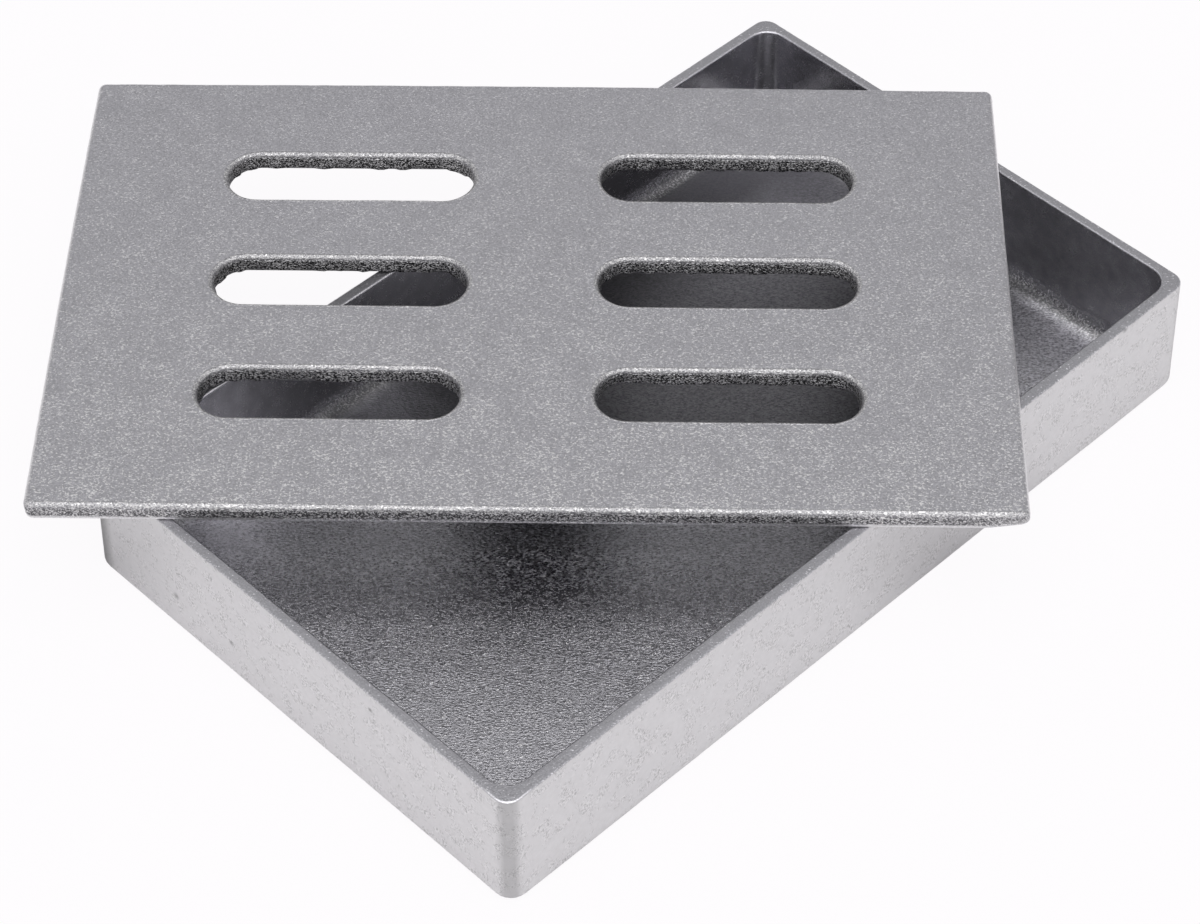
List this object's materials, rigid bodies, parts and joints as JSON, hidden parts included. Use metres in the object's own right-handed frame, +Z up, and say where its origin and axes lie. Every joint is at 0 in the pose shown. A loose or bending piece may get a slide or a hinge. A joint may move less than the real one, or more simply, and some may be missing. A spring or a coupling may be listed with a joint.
{
  "type": "smoker box",
  "caption": "Open cast-iron tray for wood chips with a loose slotted lid lying turned across its rim.",
  "frame": {"origin": "centre of the tray's underside", "axes": "+X along the tray's long side, +Y along its short side, +Z up out of the tray"},
  "size_m": [0.2428, 0.2439, 0.036],
  "materials": {
    "tray_iron": "ground outside, as cast inside",
    "lid_iron": "as cast, fine speckle"
  },
  "bodies": {
    "tray": {"tray": "tray_iron"},
    "lid": {"lid": "lid_iron"}
  },
  "joints": [
    {"name": "lid_lift", "type": "slide", "parent": "tray", "child": "lid", "axis": [0, 0, 1], "range_m": [0, 0.1]}
  ]
}
